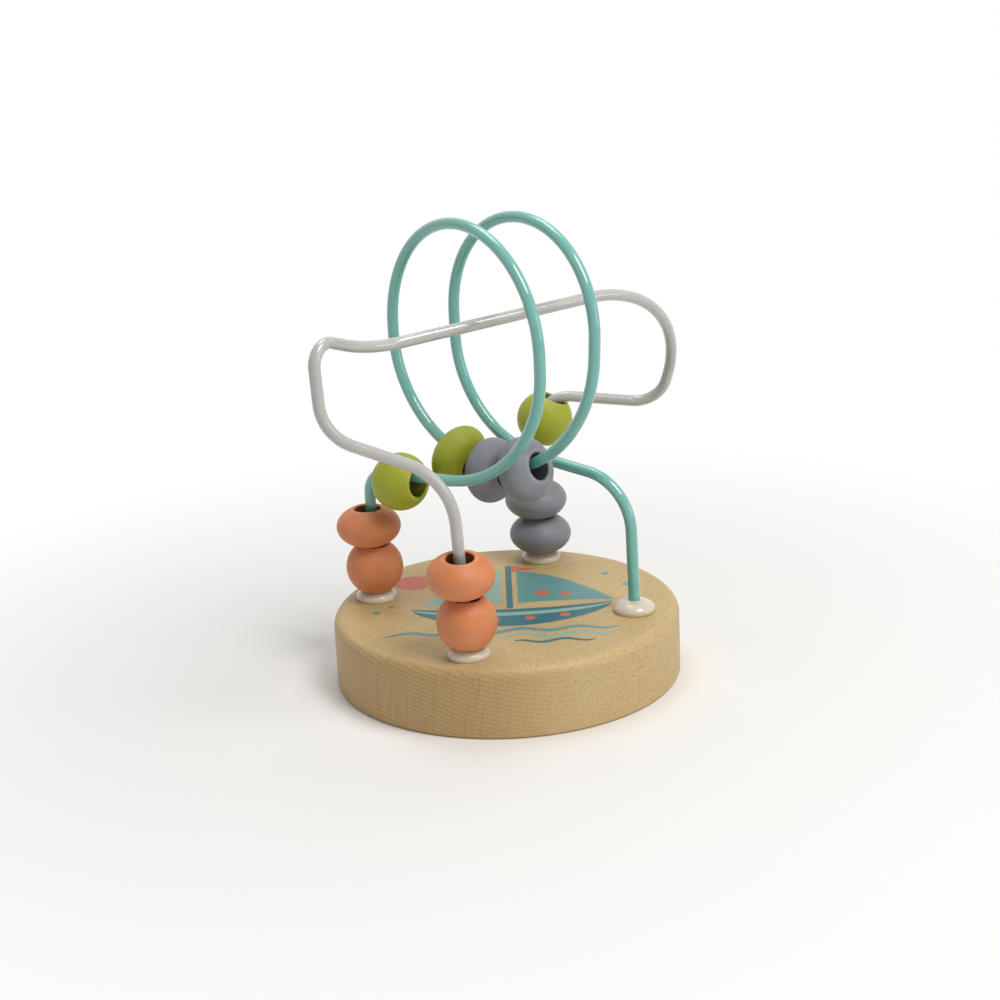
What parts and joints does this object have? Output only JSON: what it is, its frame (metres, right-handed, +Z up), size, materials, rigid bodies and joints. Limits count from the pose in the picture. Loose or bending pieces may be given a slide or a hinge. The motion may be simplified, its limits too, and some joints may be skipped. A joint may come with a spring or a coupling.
{
  "type": "bead maze toy",
  "caption": "Small table-top bead maze: round wooden base, a teal coiled wire and a pale looping wire, with coloured wooden beads threaded on them.",
  "frame": {"origin": "Middle of the flat underside of the base, on the surface it stands on.", "axes": "+X along the axis of the coil, +Z up, +Y completes the right-handed frame."},
  "size_m": [0.1527, 0.12, 0.1602],
  "materials": {
    "beech": "pale beech, sanded, satin clear coat, printed on top",
    "teal_coating": "glossy teal coating on steel wire",
    "pale_coating": "glossy warm white coating on steel wire",
    "cap_plastic": "glossy ivory",
    "washer_steel": "plain spring steel",
    "plug_wood": "plain beech",
    "orange_paint": "satin coral-orange paint, fine turning rings",
    "green_paint": "satin lime-green paint, fine turning rings",
    "grey_paint": "satin grey paint, fine turning rings"
  },
  "bodies": {
    "frame": {"base": "beech", "coil_wire": "teal_coating", "pale_wire": "pale_coating", "left_cap": "cap_plastic", "right_cap": "cap_plastic", "front_cap": "cap_plastic", "back_cap": "cap_plastic", "left_washer": "washer_steel", "right_washer": "washer_steel", "front_washer": "washer_steel", "back_washer": "washer_steel", "left_plug": "plug_wood", "right_plug": "plug_wood", "front_plug": "plug_wood", "back_plug": "plug_wood"},
    "left_round_bead": {"left_round_bead": "orange_paint"},
    "left_flat_bead": {"left_flat_bead": "orange_paint"},
    "run_round_bead": {"run_round_bead": "green_paint"},
    "coil_far_bead": {"coil_far_bead": "green_paint"},
    "coil_mid_bead": {"coil_mid_bead": "grey_paint"},
    "coil_near_bead": {"coil_near_bead": "grey_paint"},
    "front_round_bead": {"front_round_bead": "orange_paint"},
    "front_flat_bead": {"front_flat_bead": "orange_paint"},
    "back_low_bead": {"back_low_bead": "grey_paint"},
    "back_mid_bead": {"back_mid_bead": "grey_paint"},
    "back_round_bead": {"back_round_bead": "green_paint"}
  },
  "joints": [
    {"name": "left_round_slide", "type": "slide", "parent": "frame", "child": "left_round_bead", "axis": [0, 0, 1], "range_m": [0, 0.0025]},
    {"name": "left_flat_slide", "type": "slide", "parent": "left_round_bead", "child": "left_flat_bead", "axis": [0, 0, 1], "range_m": [0, 0.0025]},
    {"name": "run_round_slide", "type": "slide", "parent": "frame", "child": "run_round_bead", "axis": [0.1302, -0.9897, 0.0598], "range_m": [0, 0.0012]},
    {"name": "coil_far_glide", "type": "hinge", "parent": "frame", "child": "coil_far_bead", "pos_m": [-0.0022, 0.0013, 0.11711], "axis": [-0.9973, -0.0739, 0], "range_deg": [0, 14]},
    {"name": "coil_mid_glide", "type": "hinge", "parent": "coil_far_bead", "child": "coil_mid_bead", "pos_m": [-0.0022, 0.0013, 0.11711], "axis": [-0.9973, -0.0739, 0], "range_deg": [0, 6]},
    {"name": "coil_near_glide", "type": "hinge", "parent": "coil_mid_bead", "child": "coil_near_bead", "pos_m": [-0.0022, 0.0013, 0.11711], "axis": [-0.9973, -0.0739, 0], "range_deg": [0, 6]},
    {"name": "front_round_slide", "type": "slide", "parent": "frame", "child": "front_round_bead", "axis": [0, 0, 1], "range_m": [0, 0.008]},
    {"name": "front_flat_slide", "type": "slide", "parent": "front_round_bead", "child": "front_flat_bead", "axis": [0, 0, 1], "range_m": [0, 0.008]},
    {"name": "back_low_slide", "type": "slide", "parent": "frame", "child": "back_low_bead", "axis": [0, 0, 1], "range_m": [0, 0.0055]},
    {"name": "back_mid_slide", "type": "slide", "parent": "back_low_bead", "child": "back_mid_bead", "axis": [0, 0, 1], "range_m": [0, 0.0055]},
    {"name": "back_round_glide", "type": "hinge", "parent": "frame", "child": "back_round_bead", "pos_m": [0.05005, 0.01345, 0.07408], "axis": [-0.7372, -0.6756, 0], "range_deg": [-26, 20]}
  ]
}
